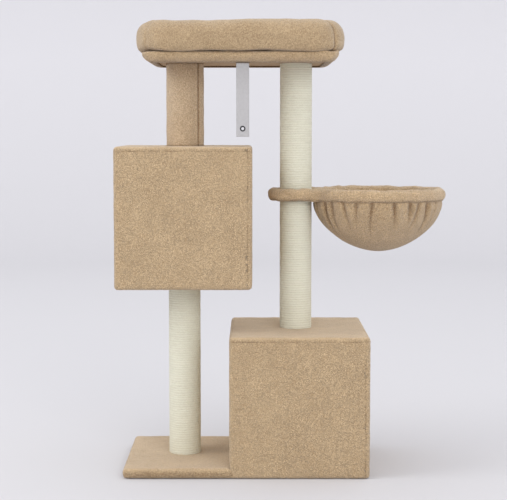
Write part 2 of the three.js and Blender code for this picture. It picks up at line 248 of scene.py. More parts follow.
def plush_finish(name, settings, curl=1.0, relief=0.0016, contrast=1.0, tone=1.0, wash=0.0):
    """Beige plush. Where the mesh stores nap the tufts lie flat, and where it stores painted shade the
    colour darkens towards the shade colour, as painted shade in folds, seams and under things.

    Wash greys the colours, and tone lightens or darkens them.
    """
    grey = sum(settings.tint) / 3
    tint = tuple(tone * (c + (grey - c) * wash) for c in settings.tint)
    shade = tuple(c * tone for c in settings.shade)
    s = Shader(name, roughness=0.95, sheen=0.42)
    s.surface.inputs["Sheen Tint"].default_value = (0.96, 0.92, 0.85, 1)
    size = settings.curl * curl
    swirled = s.warp(s.place, 30.0, 0.010)
    finer = s.warp(swirled, 260.0, 0.0016)
    edges = s.cells(s.mapping(finer, scale=(1.0, 0.9, 0.8)), 1 / size, "DISTANCE_TO_EDGE")
    parted = s.range(s.noise(finer, 330.0, 1.0), 0.36, 0.60)
    # Painted shade: the colour darkens in the gaps between curls, standing in for the shadow that the pile
    # casts on itself.
    between = s.range(edges, 0.02, 0.36, 1.0, 0.0)
    gaps = s.math("MULTIPLY", between, s.math("MULTIPLY_ADD", parted, 0.50, 0.45))
    fibre = s.noise(s.place, 1500.0, 2.0)
    patches = s.range(s.noise(s.place, 14.0, 2.0), 0.35, 0.68)
    brushed = s.stored("nap")
    # The stored painted shade darkens seams, folds, the base's sides and the bottom edge of the bed's cover,
    # where shade falls.
    painted_shade = s.stored("painted_shade")
    curly = s.math("MULTIPLY_ADD", brushed, -0.45, 1.0)
    darker = s.math("MULTIPLY", s.math("MULTIPLY", gaps, 0.78 * contrast), curly)
    uneven = s.math("MULTIPLY_ADD", s.math("SUBTRACT", fibre, 0.5), 0.30, darker)
    blotch = s.math("MULTIPLY_ADD", patches, 0.09, uneven)
    streaks = s.noise(s.mapping(s.warp(s.place, 9.0, 0.05), scale=(0.7, 1.0, 1.0)), 26.0, 3.0)
    swept = s.math("MULTIPLY", s.range(streaks, 0.35, 0.7, -0.06, 0.10), brushed)
    # Painted shade from the mesh, added to the fibre, patch and streak marks.
    shade_and_marks = s.math("MULTIPLY_ADD", painted_shade, 0.9, s.math("ADD", blotch, swept))
    base = s.mix(shade_and_marks, tint, shade)
    coarse = s.bump(s.math("MULTIPLY", s.math("SUBTRACT", 1.0, gaps), curly), relief)
    return s.finish(base, s.bump(fibre, 0.0004, 0.6, coarse))


def sisal_finish(name, settings, centre_x):
    """Wound rope: twisted strands along each turn, with some turns paler than others."""
    s = Shader(name, roughness=0.85, sheen=0.05)
    local = s.mapping(s.place, location=(-centre_x, 0, 0))
    parts = s.parts(local)
    angle = s.math("ARCTAN2", parts["Y"], parts["X"])
    height = parts["Z"]
    turn = s.math("DIVIDE", height, settings.rope)
    groove = s.math("ABSOLUTE", s.math("SINE", s.math("MULTIPLY", turn, math.pi)))
    along = s.node("ShaderNodeCombineXYZ")
    s.fill(along.inputs["X"], s.math("MULTIPLY", angle, 0.035))
    s.fill(along.inputs["Y"], s.math("MULTIPLY", height, 0.25))
    s.fill(along.inputs["Z"], s.math("MULTIPLY", s.math("FLOOR", turn), 0.13))
    twist = s.math("SINE", s.math("ADD", s.math("MULTIPLY", angle, 90.0), s.math("MULTIPLY", turn, 9.0)))
    fibres = s.noise(s.mapping(s.place, scale=(1, 1, 1.6)), 420.0, 4.0)
    tone = s.noise(along.outputs[0], 22.0, 3.0)
    worn = s.range(tone, 0.3, 0.7)
    # Painted shade: the colour darkens in the groove between turns.
    dark = s.math("MULTIPLY", s.math("POWER", s.math("SUBTRACT", 1.0, groove), 2.0), 0.32)
    dark = s.math("MULTIPLY_ADD", worn, 0.10, dark)
    dark = s.math("MULTIPLY_ADD", s.math("SUBTRACT", fibres, 0.5), 0.7, dark)
    base = s.mix(dark, tuple(settings.tint), tuple(settings.shade))
    strands = s.bump(twist, 0.0004, 0.6)
    return s.finish(base, s.bump(fibres, 0.0005, 0.8, strands))


def board_finish():
    """Raw pressed board with flakes."""
    s = Shader("pressed_board", roughness=0.75)
    flakes = s.cells(s.mapping(s.place, scale=(1.0, 1.0, 2.2)), 380.0)
    grain = s.noise(s.place, 120.0, 4.0)
    mixed = s.math("MULTIPLY_ADD", flakes, 0.5, s.math("MULTIPLY", grain, 0.6))
    base = s.mix(mixed, (0.58, 0.41, 0.24), (0.30, 0.19, 0.10))
    return s.finish(base, s.bump(grain, 0.0003, 0.5))


def cardboard_finish():
    """Brown paper tube, with its fibres running upright."""
    s = Shader("paper_tube", roughness=0.85)
    fibres = s.noise(s.mapping(s.place, scale=(1, 1, 0.2)), 300.0, 4.0)
    base = s.mix(fibres, (0.47, 0.34, 0.2), (0.36, 0.25, 0.14))
    return s.finish(base, s.bump(fibres, 0.0002, 0.5))


def metal_finish(name, tint, roughness, metallic=1.0):
    """Metal or painted wire with fine scratches."""
    s = Shader(name, roughness=roughness, metallic=metallic)
    scratches = s.noise(s.mapping(s.place, scale=(1, 1, 0.1)), 900.0, 3.0)
    base = s.mix(s.range(scratches, 0.3, 0.7), tint, tuple(0.7 * c for c in tint))
    return s.finish(base, s.bump(scratches, 0.00005, 0.4))


def webbing_finish():
    """Flat webbing, with painted shadow from the bed darkening it near its top: ribs along and across, laid
    out in centimetres.
    """
    s = Shader("grey_webbing", roughness=0.8, sheen=0.1)
    parts = s.parts(s.node("ShaderNodeUVMap").outputs["UV"])
    across = s.math("SINE", s.math("MULTIPLY", parts["X"], 2 * math.pi / 0.16))
    down = s.math("SINE", s.math("MULTIPLY", parts["Y"], 2 * math.pi / 0.11))
    weave = s.math("MULTIPLY", across, down)
    cloudy = s.noise(s.place, 180.0, 3.0)
    tone = s.math("MULTIPLY_ADD", weave, 0.10, s.math("MULTIPLY", cloudy, 0.55))
    # Painted shadow: the webbing darkens over its first centimetres, under the bed.
    painted_bed_shadow = s.range(parts["Y"], 2.0, 10.0, 0.38, 0.0)
    tone = s.math("ADD", tone, painted_bed_shadow)
    base = s.mix(tone, (0.53, 0.52, 0.52), (0.34, 0.33, 0.33))
    return s.finish(base, s.bump(weave, 0.0003, 0.5))


def thread_finish():
    """Polyester sewing thread."""
    s = Shader("sewing_thread", roughness=0.6, sheen=0.1)
    twist = s.noise(s.place, 2500.0, 1.0)
    return s.finish(s.mix(twist, (0.62, 0.61, 0.60), (0.46, 0.45, 0.44)), s.bump(twist, 0.0001, 0.5))


def backdrop_finish(tint):
    """Backdrop paper with painted light that makes it a little paler with height."""
    s = Shader("backdrop_paper", roughness=0.95)
    # Painted light: the colour is mixed towards a paler one up to 1.2 m, so the wall reads brighter than the
    # floor.
    rise = s.range(s.parts(s.place)["Z"], 0.0, 1.2)
    wall_light_and_mottle = s.math("MULTIPLY_ADD", s.noise(s.place, 3.0, 2.0), 0.04, rise)
    return s.finish(s.mix(wall_light_and_mottle, tint, tuple(1.13 * c for c in tint)))


# ---- mesh helpers ----


def face_out(bm):
    """Turns the faces of an open or closed shell to look away from its middle."""
    bmesh.ops.recalc_face_normals(bm, faces=bm.faces[:])
    bm.normal_update()
    middle = sum((v.co for v in bm.verts), Vector()) / len(bm.verts)
    outward = sum((f.calc_center_median() - middle).dot(f.normal) * f.calc_area() for f in bm.faces)
    if outward < 0:
        bmesh.ops.reverse_faces(bm, faces=bm.faces[:])
    bm.normal_update()


def shown(name, bm, finish):
    """Puts a bmesh in the scene as a smooth object with one material."""
    mesh = bpy.data.meshes.new(name)
    bm.to_mesh(mesh)
    bm.free()
    for polygon in mesh.polygons:
        polygon.use_smooth = True
    mesh.materials.append(finish)
    made = bpy.data.objects.new(name, mesh)
    bpy.context.scene.collection.objects.link(made)
    return made


def piece(name, bm, finish, nodes, body):
    """Turns a bmesh into a finished piece that rides on a body and stands for CAD nodes."""
    made = shown(name, bm, finish)
    if nodes:
        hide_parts(*nodes)
    if body:
        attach(made, body)
    return made


def solidify(made, thickness, offset=-1.0):
    """Gives a surface its thickness, inwards unless offset says otherwise."""
    shell = made.modifiers.new("Thickness", "SOLIDIFY")
    shell.thickness = thickness
    shell.offset = offset


def cut(bm, place, facing, clear=False):
    """Cuts a shape along a plane, and may clear what lies on the side that facing looks to."""
    bmesh.ops.bisect_plane(
        bm, geom=bm.verts[:] + bm.edges[:] + bm.faces[:], plane_co=place, plane_no=facing, clear_outer=clear
    )


def lathe(bm, centre, axis, steps, join=1e-6):
    """Turns an outline all the way round an axis, and joins up its seam and poles."""
    bmesh.ops.spin(
        bm, geom=bm.verts[:] + bm.edges[:], cent=centre, axis=axis, angle=2 * math.pi, steps=steps,
        use_merge=True, use_duplicate=False,
    )
    bmesh.ops.remove_doubles(bm, verts=bm.verts[:], dist=join)


def kept_marks(bm, name):
    """The layer that keeps a number on each vertex, for the material to read by its name."""
    return bm.verts.layers.float.get(name) or bm.verts.layers.float.new(name)


def block(low, high, corner, cuts, segments=4):
    """A box with rounded edges whose faces are an even grid."""
    bm = bmesh.new()
    bmesh.ops.create_cube(bm, size=1.0)
    bmesh.ops.scale(bm, vec=high - low, verts=bm.verts[:])
    bmesh.ops.translate(bm, vec=(low + high) / 2, verts=bm.verts[:])
    bmesh.ops.bevel(
        bm, geom=bm.edges[:], offset=corner, segments=segments, profile=0.5, affect="EDGES", material=-1
    )
    runs = [e for e in bm.edges if e.calc_length() > 2.5 * corner]
    bmesh.ops.subdivide_edges(bm, edges=runs, cuts=cuts, use_grid_fill=True)
    return bm


def ripple(place, size, seed):
    """Slow unevenness between about -1 and 1."""
    return noise.noise(place / size + Vector((seed * 17.3, seed * 5.1, seed * 9.7)))


def roughen(bm, depth, size, seed):
    """Moves a surface in and out by slow unevenness."""
    bm.normal_update()
    for v in bm.verts:
        v.co += v.normal * depth * ripple(v.co, size, seed)


def cut_doorway(bm, centre, radius):
    """Opens a round hole in the faces that look along +Y and draws the rim on to a true circle."""
    bm.normal_update()
    inside = [
        f for f in bm.faces
        if f.normal.y > 0.9 and (f.calc_center_median() - centre).xz.length < radius
    ]
    bmesh.ops.delete(bm, geom=inside, context="FACES")
    rim = [v for v in bm.verts if any(e.is_boundary for e in v.link_edges) and v.co.y > centre.y - 0.02]
    rim = [v for v in rim if (v.co - centre).xz.length < radius * 1.3]
    for v in rim:
        flat = v.co - centre
        flat.y = 0
        v.co = Vector((centre.x, v.co.y, centre.z)) + flat.normalized() * radius


def sweep(bm, legs):
    """Draws bm's section along level legs, each (steps, centre, turn, travel), back to its start."""
    last = bm.verts[:] + bm.edges[:]
    for steps, centre, turn, travel in legs:
        drawn = bmesh.ops.spin(
            bm, geom=last, cent=centre, axis=UP, dvec=travel / steps, angle=turn, steps=steps,
            use_merge=False, use_duplicate=False,
        )
        last = drawn["geom_last"]
    bmesh.ops.remove_doubles(bm, verts=bm.verts[:], dist=1e-5)
    bmesh.ops.recalc_face_normals(bm, faces=bm.faces[:])
    return bm


def rounded_track(middle, half_x, half_y, radius, steps):
    """Legs round a level rectangle with rounded corners, from the foot of its right side."""
    still = Vector((0, 0, 0))
    x, y = half_x - radius, half_y - radius
    side, end, bend = steps

    def corner(right, back):
        return middle + Vector((right * x, back * y, 0))

    return [
        (side, middle, 0.0, Vector((0, 2 * y, 0))), (bend, corner(1, 1), math.pi / 2, still),
        (end, middle, 0.0, Vector((-2 * x, 0, 0))), (bend, corner(-1, 1), math.pi / 2, still),
        (side, middle, 0.0, Vector((0, -2 * y, 0))), (bend, corner(-1, -1), math.pi / 2, still),
        (end, middle, 0.0, Vector((2 * x, 0, 0))), (bend, corner(1, -1), math.pi / 2, still),
    ]


def line(bm, points):
    """An open chain of edges through the points."""
    ends = [bm.verts.new(p) for p in points]
    for a, b in zip(ends, ends[1:]):
        bm.edges.new((a, b))
    return ends


def mark(bm, name, weigh):
    """Stores weigh(vertex) on each vertex, for the material to read."""
    layer = kept_marks(bm, name)
    for v in bm.verts:
        v[layer] = max(v[layer], weigh(v))


def bell(x, width):
    """A smooth bump, 1 at zero and nearly 0 two widths away."""
    return math.exp(-((x / width) ** 2))


def stuffed(made, voxel, pressure, cap):
    """Swells a closed piece as stuffing does, moving no point further than cap."""
    remesh = made.modifiers.new("Even", "REMESH")
    remesh.mode = "VOXEL"
    remesh.voxel_size = voxel
    settle(made)
    rest = [v.co.copy() for v in made.data.vertices]
    cloth = made.modifiers.new("Stuffing", "CLOTH")
    cloth.settings.use_pressure = True
    cloth.settings.uniform_pressure_force = pressure
    cloth.settings.effector_weights.gravity = 0
    cloth.point_cache.frame_start = 1
    cloth.point_cache.frame_end = STUFFING_FRAMES
    for frame_number in range(1, STUFFING_FRAMES + 1):
        bpy.context.scene.frame_set(frame_number)
    settle(made)
    bpy.context.scene.frame_set(1)
    for v, start in zip(made.data.vertices, rest):
        moved = v.co - start
        if moved.length > cap:
            v.co = start + moved.normalized() * cap


def fitted(made, low, high):
    """Stretches a piece the last little way to fill the room kept for it."""
    bottom = Vector([min(v.co[axis] for v in made.data.vertices) for axis in range(3)])
    top = Vector([max(v.co[axis] for v in made.data.vertices) for axis in range(3)])
    for v in made.data.vertices:
        v.co = Vector([
            low[axis] + (v.co[axis] - bottom[axis]) * (high[axis] - low[axis]) / (top[axis] - bottom[axis])
            for axis in range(3)
        ])


def box_cut(low, high, opening):
    """The flat cross that folds up into a box with one round opening: its width, length and area."""
    wide, deep, tall = high - low
    area = 2 * (wide * deep + wide * tall + deep * tall) - math.pi * opening**2
    return (wide + 2 * tall, 2 * deep + 2 * tall), area


def settle(made):
    """Applies a piece's modifiers to its mesh."""
    bpy.context.view_layer.update()
    whole = made.evaluated_get(bpy.context.evaluated_depsgraph_get())
    mesh = bpy.data.meshes.new_from_object(whole)
    made.modifiers.clear()
    old = made.data
    made.data = mesh
    bpy.data.meshes.remove(old)
    for polygon in mesh.polygons:
        polygon.use_smooth = True


def refined(made):
    """Rounds a piece off with one level of subdivision."""
    rounder = made.modifiers.new("Rounder", "SUBSURF")
    rounder.levels = rounder.render_levels = 1
    settle(made)


# ---- base ----


class CATTREE_OT_base(bpy.types.Operator):
    """Wraps the base board in plush, with the hem folded in underneath"""

    bl_idname = "cat_tree.base"
    bl_label = "Base"

    def execute(self, context):
        low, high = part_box("base_cover")
        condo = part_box("lower_condo_cover")[0]
        hem = 0.040
        tuck = 0.0004
        bm = block(low, high, 0.0095, 90)
        edge = Vector((condo.x + 0.012, 0, 0))
        cut(bm, edge, ACROSS, clear=True)
        cut(bm, (low.x + hem, 0, 0), ACROSS)
        bm.normal_update()
        open_faces = [
            f for f in bm.faces
            if f.normal.z < -0.9 and f.calc_center_median().x > low.x + hem
            and abs(f.calc_center_median().y) < high.y - hem
        ]
        bmesh.ops.delete(bm, geom=open_faces, context="FACES")
        roughen(bm, 0.0005, 0.030, 1)
        roughen(bm, 0.0004, 0.007, 2)
        for v in bm.verts:
            v.co.z = max(v.co.z, 0.0)
            if v.co.x > condo.x - 0.02:
                v.co.y = max(min(v.co.y, high.y - tuck), low.y + tuck)
        mark(bm, "nap", lambda v: 0.7 if v.co.z > high.z - 0.003 else 0.0)
        # Painted shade: the sides and hem of the base, below its top, are darkened as if lit from above.
        mark(bm, "painted_shade", lambda v: 0.22 if v.co.z < high.z - 0.006 else 0.0)
        made = piece(
            "base_plush", bm, plush_finish("base_plush", context.scene.cat_tree_plush), ["base_cover"],
            "tree",
        )
        solidify(made, 0.0021)
        return {"FINISHED"}


# ---- condos ----


def groove(bm, axis, place):
    """Presses a straight seam into the wall side of a box, this far along the axis."""
    for offset in (-SEAM_WIDTH, 0.0, SEAM_WIDTH):
        cut(bm, axis * (place + offset), axis)
    bm.normal_update()
    painted_shade = kept_marks(bm, "painted_shade")
    for v in bm.verts:
        if v.normal.dot(WALLWARD) > 0.9 and abs(v.co.dot(axis) - place) < 1e-5:
            v.co -= WALLWARD * SEAM_DEPTH
            # Painted shade in the pressed seam groove.
            v[painted_shade] = max(0.0, 0.20 + 0.6 * ripple(v.co, 0.03, 21))


def doorway(prefix):
    """The middle of a condo's entrance on its outer face, and the radius of the lined opening."""
    low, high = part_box(prefix + "_entrance_binding")
    return Vector(((low.x + high.x) / 2, high.y, (low.z + high.z) / 2)), (high.x - low.x) / 2


def condo_cover(context, prefix, to_floor, seed):
    """The plush outside of a condo, seamed on the wall side; one that stands on the floor is open below."""
    low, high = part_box(prefix + "_cover")
    settings = context.scene.cat_tree_plush
    base_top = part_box("base_cover")[1].z
    if to_floor:
        low.z = 0.0
    bm = block(low, high, settings.corner, settings.cuts)
    seam = 0.0095
    groove(bm, ACROSS, high.x - seam)
    groove(bm, UP, high.z - seam)
    centre, radius = doorway(prefix)
    cut_doorway(bm, centre, radius + 0.0003)
    if to_floor:
        hem = 0.034
        cut(bm, (0, 0, base_top + 0.0004), UP)
        bm.normal_update()
        gone = []
        for f in bm.faces:
            middle = f.calc_center_median()
            under = f.normal.z < -0.9 and middle.x < high.x - hem and abs(middle.y) < high.y - hem
            if under or (middle.z < base_top and f.normal.x < -0.9):
                gone.append(f)
        bmesh.ops.delete(bm, geom=gone, context="FACES")
    roughen(bm, 0.0005, 0.034, seed)
    roughen(bm, 0.0004, 0.007, seed + 1)
    for v in bm.verts:
        v.co.z = max(v.co.z, low.z)
    mark(bm, "nap", lambda v: 1.0 if v.co.z > high.z - 0.003 else 0.0)
    finish = plush_finish(prefix + "_plush", settings, contrast=0.78, relief=0.0018)
    made = piece(prefix + "_plush_cover", bm, finish, [prefix + "_cover"], "tree")
    solidify(made, 0.0030)
    flat, area = box_cut(low, high, radius)
    if to_floor:
        wide, deep, tall = high - low
        area -= (wide - hem) * (deep - 2 * hem) + deep * base_top


def condo_lining(context, prefix, open_floor, seed):
    """The short plush inside a condo, kept within the room between its boards."""
    low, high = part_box(prefix + "_lining")
    bm = block(low, high, 0.006, 44)
    centre, radius = doorway(prefix)
    cut_doorway(bm, Vector((centre.x, high.y, centre.z)), radius + 0.0003)
    if open_floor:
        bm.normal_update()
        floor = [f for f in bm.faces if f.normal.z < -0.9]
        bmesh.ops.delete(bm, geom=floor, context="FACES")
    roughen(bm, 0.0005, 0.030, seed)
    for v in bm.verts:
        for axis in range(3):
            v.co[axis] = max(low[axis], min(high[axis], v.co[axis]))
    finish = plush_finish(prefix + "_inside", context.scene.cat_tree_plush, curl=0.8, relief=0.0008)
    made = piece(prefix + "_plush_lining", bm, finish, [prefix + "_lining"], "tree")
    solidify(made, 0.0026)
    flat, area = box_cut(low, high, radius)
    if open_floor:
        area -= (high.x - low.x) * (high.y - low.y)


def condo_binding(context, prefix):
    """A plush band drawn over the rim of the entrance, from the outer face through to the inside."""
    centre, radius = doorway(prefix)
    inner = radius - 0.0032
    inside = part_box(prefix + "_entrance_binding")[0].y
    depth = centre.y - inside
    rim = [
        (inner + 0.0130, 0.0006), (inner + 0.0120, 0.0024), (inner + 0.0090, 0.0038),
        (inner + 0.0050, 0.0038), (inner + 0.0018, 0.0022), (inner, -0.0015), (inner, -depth / 2),
        (inner, -depth + 0.0015), (inner + 0.0018, -depth - 0.0022), (inner + 0.0050, -depth - 0.0034),
        (inner + 0.0085, -depth - 0.0030), (inner + 0.0110, -depth - 0.0004),
    ]
    bm = bmesh.new()
    line(bm, [centre + Vector((r, y, 0)) for r, y in rim])
    bmesh.ops.subdivide_edges(bm, edges=bm.edges[:], cuts=1)
    lathe(bm, centre, (0, 1, 0), 120)
    bmesh.ops.recalc_face_normals(bm, faces=bm.faces[:])
    bm.normal_update()
    if max(bm.verts, key=lambda v: v.co.y).normal.y < 0:
        bmesh.ops.reverse_faces(bm, faces=bm.faces[:])
    roughen(bm, 0.0006, 0.016, 7)
    finish = plush_finish(prefix + "_binding", context.scene.cat_tree_plush, curl=0.8, relief=0.0010)
    made = piece(prefix + "_plush_binding", bm, finish, [prefix + "_entrance_binding"], "tree")
    solidify(made, 0.0018)


class CATTREE_OT_condos(bpy.types.Operator):
    """Covers and lines both condos, and binds their round entrances"""

    bl_idname = "cat_tree.condos"
    bl_label = "Condos"

    def execute(self, context):
        for prefix, on_base, seed in (("lower_condo", True, 3), ("upper_condo", False, 6)):
            condo_cover(context, prefix, on_base, seed)
            condo_lining(context, prefix, on_base, seed + 20)
            condo_binding(context, prefix)
        return {"FINISHED"}


# ---- posts ----


def trimmed(bm, low, high):
    """Cuts a shape off level at both heights."""
    for height, facing in ((low, -UP), (high, UP)):
        cut(bm, (0, 0, height), facing, clear=True)


class CATTREE_OT_sisal(bpy.types.Operator):
    """Winds sisal rope round three lengths of post, as one screw of rope on each"""

    bl_idname = "cat_tree.sisal"
    bl_label = "Sisal posts"

    def execute(self, context):
        settings = context.scene.cat_tree_sisal
        per_turn, steps = 6, 56
        for name in ("left_lower_post", "right_lower_post", "right_upper_post"):
            low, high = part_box(name + "_wrap")
            centre = Vector(((low.x + high.x) / 2, 0, 0))
            radius = (high.x - low.x) / 2
            turns = math.ceil((high.z - low.z) / settings.rope) + 2
            bm = bmesh.new()
            points = []
            for i in range(turns * per_turn + 1):
                swell = math.sqrt(abs(math.sin(math.pi * i / per_turn)))
                height = low.z + (i / per_turn - 1.5) * settings.rope
                points.append(centre + Vector((radius + 0.0002 - settings.relief * (1 - swell), 0, height)))
            line(bm, points)
            bmesh.ops.spin(
                bm, geom=bm.verts[:] + bm.edges[:], cent=centre, axis=UP, dvec=(0, 0, settings.rope / steps),
                angle=2 * math.pi, steps=steps, use_merge=False, use_duplicate=False,
            )
            bmesh.ops.remove_doubles(bm, verts=bm.verts[:], dist=1e-5)
            trimmed(bm, low.z, high.z)
            face_out(bm)
            for v in bm.verts:
                out = (v.co - centre).xy.to_3d().normalized()
                v.co += out * 0.0003 * ripple(v.co, 0.012, 2)
            finish = sisal_finish(name + "_sisal", settings, centre.x)
            made = piece(name + "_sisal", bm, finish, [name + "_wrap"], "tree")
            solidify(made, 0.0035)
        return {"FINISHED"}


class CATTREE_OT_plush_post(bpy.types.Operator):
    """Wraps the post over the upper condo in plush, lapped along one upright seam"""

    bl_idname = "cat_tree.plush_post"
    bl_label = "Plush post"

    def execute(self, context):
        low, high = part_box("left_upper_post_wrap")
        centre = Vector(((low.x + high.x) / 2, 0, low.z))
        radius = (high.x - low.x) / 2 - 0.0022
        seam = math.radians(-38)
        bm = bmesh.new()
        line(bm, [centre + Vector((radius, 0, i * (high.z - low.z) / 40)) for i in range(41)])
        lathe(bm, centre, UP, 120)
        face_out(bm)
        for v in bm.verts:
            out = (v.co - centre).xy.to_3d()
            angle = math.atan2(out.y, out.x) - seam
            ahead = (angle + math.pi) % (2 * math.pi) - math.pi
            lap = 0.0016 * bell(ahead + 0.07, 0.07) - 0.0022 * bell(ahead - 0.04, 0.04)
            lap += 0.0056 * bell(ahead - 0.60, 0.42)
            v.co += out.normalized() * (lap + 0.0006 * ripple(v.co, 0.030, 11))
        # Painted shade: a dark line along the lapped seam, where the upper layer's edge shades the one
        # below.
        mark(bm, "painted_shade", lambda v: bell(
            (math.atan2(v.co.y - centre.y, v.co.x - centre.x) - seam - 0.04), 0.055
        ))
        finish = plush_finish(
            "post_plush", context.scene.cat_tree_plush, curl=0.9, relief=0.0012, contrast=0.75, tone=1.13,
            wash=0.2,
        )
        made = piece("left_upper_post_plush", bm, finish, ["left_upper_post_wrap"], "tree")
        solidify(made, 0.0028)
        return {"FINISHED"}


# ---- bed ----


def oval(bm, half_width, above, below, sides, power, foot_power, centre):
    """An upright closed outline: an ellipse at power 2, and boxier above it. Its foot has its own power."""
    bmesh.ops.create_circle(bm, segments=sides, radius=1.0)
    for v in bm.verts:
        angle = math.atan2(v.co.y, v.co.x)
        up = v.co.y > 0
        bend = 2 / (power if up else foot_power)
        wide = math.copysign(abs(math.cos(angle)) ** bend, math.cos(angle))
        tall = abs(math.sin(angle)) ** bend * (above if up else -below)
        v.co = centre + Vector((half_width * wide, 0, tall))


def sag(place, middle):
    """How far the line between the bed's bolster and board cover rises or dips along the bed."""
    x = place.x - middle.x
    return 0.0034 * bell(x - 0.205, 0.045) - 0.0022 * bell(x + 0.02, 0.08) + 0.0007 * ripple(place, 0.03, 18)


def overhang(place, middle, edge):
    """From 0 inside a level rectangle of half size edge to 1 a centimetre outside it."""
    return max(0.0, min(1.0, max(abs(place.x - middle.x) - edge.x, abs(place.y) - edge.y) / 0.010))


def corner_seam(place, middle, reach):
    """A point's signed distance from the mitre seam of its corner and that corner's side, or None."""
    out = place - middle
    side = Vector((math.copysign(1, out.x), math.copysign(1, out.y), 0))
    local = Vector((abs(out.x) - reach.x, abs(out.y) - reach.y, 0))
    if min(local.x, local.y) < -0.004:
        return None
    return (local.x - local.y) / math.sqrt(2), side


def reshape(made, change):
    """Lets change(bmesh) move the points of a finished piece."""
    bm = bmesh.new()
    bm.from_mesh(made.data)
    change(bm)
    bm.to_mesh(made.data)
    bm.free()


class BedTrack:
    """The line down the middle of the bed's bolster, or the one that its board's cover follows."""

    def __init__(self, bend=0.046):
        low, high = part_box("bed_bolster")
        self.low, self.high = low, high
        self.middle = Vector(((low.x + high.x) / 2, 0, (low.z + high.z) / 2))
        self.roll = 0.037
        self.half_x = (high.x - low.x) / 2 - self.roll
        self.half_y = (high.y - low.y) / 2 - self.roll
        self.bend = bend

    def start(self, offset, height):
        return Vector((self.middle.x + self.half_x + offset, -(self.half_y - self.bend), height))

    def legs(self, steps=(22, 32, 10)):
        return rounded_track(self.middle, self.half_x, self.half_y, self.bend, steps)


class CATTREE_OT_bed_cover(bpy.types.Operator):
    """Wraps the bed's board in plush that widens up to the bolster, with its hem stapled underneath"""

    bl_idname = "cat_tree.bed_cover"
    bl_label = "Bed cover"

    def execute(self, context):
        track = BedTrack(bend=0.016)
        low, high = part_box("bed_board_cover")
        flare = context.scene.cat_tree_bed.flare
        rise = high.z - low.z
        side = 0.0150
        profile = [
            (-0.0090, 0.0004), (-0.0060, 0.0), (-0.0030, 0.0), (0.0020, 0.0008), (0.0060, 0.0022),
            (0.0105, 0.0045), (0.0138, 0.0070), (side + 0.20 * flare, 0.0095), (side + 0.55 * flare, 0.0120),
            (side + 0.83 * flare, 0.0150), (side + flare, 0.0178), (side + 0.97 * flare, 0.0200),
            (side + 0.75 * flare, 0.0217), (side + 0.30 * flare, rise - 0.0002), (0.0080, rise),
            (0.0, rise), (-0.009, rise),
        ]
        board_edge = Vector((0.198, 0.148))
        bm = bmesh.new()
        line(bm, [track.start(offset, low.z + height) for offset, height in profile])
        sweep(bm, track.legs((44, 64, 16)))
        rim = [e for e in bm.edges if e.is_boundary and e.verts[0].co.z > high.z - 0.002]
        bmesh.ops.holes_fill(bm, edges=rim, sides=0)
        face_out(bm)
        for v in bm.verts:
            share = max(0.0, min(1.0, (v.co.z - low.z) / rise))
            if v.normal.z < 0.9 and share > 0.05:
                gather = ripple(v.co, 0.016, 5)
                v.co += v.normal.xy.to_3d() * share * (0.0014 * gather + 0.0012 * ripple(v.co, 0.05, 8))
                bunch = bell((v.co.xy - Vector((track.middle.x + 0.195, -0.150))).length, 0.030)
                v.co += v.normal * bunch * (0.0015 + 0.0035 * gather + 0.0040 * ripple(v.co, 0.012, 19))
                v.co.z += share * sag(v.co, track.middle) * overhang(v.co, track.middle, board_edge)
        # Painted shade: the bottom edge of the board's cover is darkened where the bed shades it.
        mark(bm, "painted_shade", lambda v: 0.55 * bell(v.co.z - low.z, 0.0022))
        plush = context.scene.cat_tree_plush
        finish = plush_finish("bed_cover", plush, curl=0.8, relief=0.0010, contrast=0.95)
        made = piece("bed_cover_plush", bm, finish, ["bed_board_cover"], "tree")
        solidify(made, 0.0026)
        return {"FINISHED"}


class CATTREE_OT_bolster(bpy.types.Operator):
    """Stuffs the roll round the bed, and gathers it at the mitred corners"""

    bl_idname = "cat_tree.bolster"
    bl_label = "Bolster"

    def execute(self, context):
        track = BedTrack()
        lump = context.scene.cat_tree_bed.lump
        tall = track.high.z - track.low.z
        above, below = 0.60 * tall - 0.001, 0.40 * tall - 0.001
        bm = bmesh.new()
        start = track.start(0, track.low.z + 0.001 + below)
        oval(bm, track.roll - 0.001, above, below, 32, 2.1, 7.0, start)
        sweep(bm, track.legs())
        finish = plush_finish(
            "bolster_plush", context.scene.cat_tree_plush, curl=0.85, relief=0.0009, contrast=0.9, tone=0.86
        )
        made = piece("bed_bolster_plush", bm, finish, ["bed_bolster"], "tree")
        stuffed(made, 0.006, 4.0, 0.003)
        fitted(made, track.low, track.high)
        refined(made)
        reach = Vector((track.half_x - track.bend, track.half_y - track.bend, 0))

        def finish_shape(bm):
            painted_shade = kept_marks(bm, "painted_shade")
            bm.normal_update()
            for v in bm.verts:
                loft = lump * ripple(v.co, 0.055, 4) + 0.4 * lump * ripple(v.co, 0.022, 9)
                hump = bell(v.co.x - track.middle.x - 0.165, 0.035) * bell(v.co.y + 0.125, 0.05)
                v.co += v.normal * (loft + 0.0025 * hump)
                near = corner_seam(v.co, track.middle, reach)
                if near:
                    right_wall = near[1].x > 0 > near[1].y
                    depth = 0.0028 if right_wall else 0.0012
                    v.co -= v.normal * depth * (bell(near[0], 0.0035) + 0.4 * bell(near[0], 0.012))
                    # Painted shade in the mitre seam's fold, deepest at the front right corner.
                    v[painted_shade] = (0.5 if right_wall else 0.15) * bell(near[0], 0.0024)
                v.co.z = max(v.co.z, track.low.z)
                droop = overhang(v.co, track.middle, Vector((0.206, 0.156)))
                low_down = max(0.0, min(1.0, (track.low.z + 0.026 - v.co.z) / 0.022))
                v.co.z += (sag(v.co, track.middle) - 0.0036) * droop * low_down

        reshape(made, finish_shape)
        return {"FINISHED"}


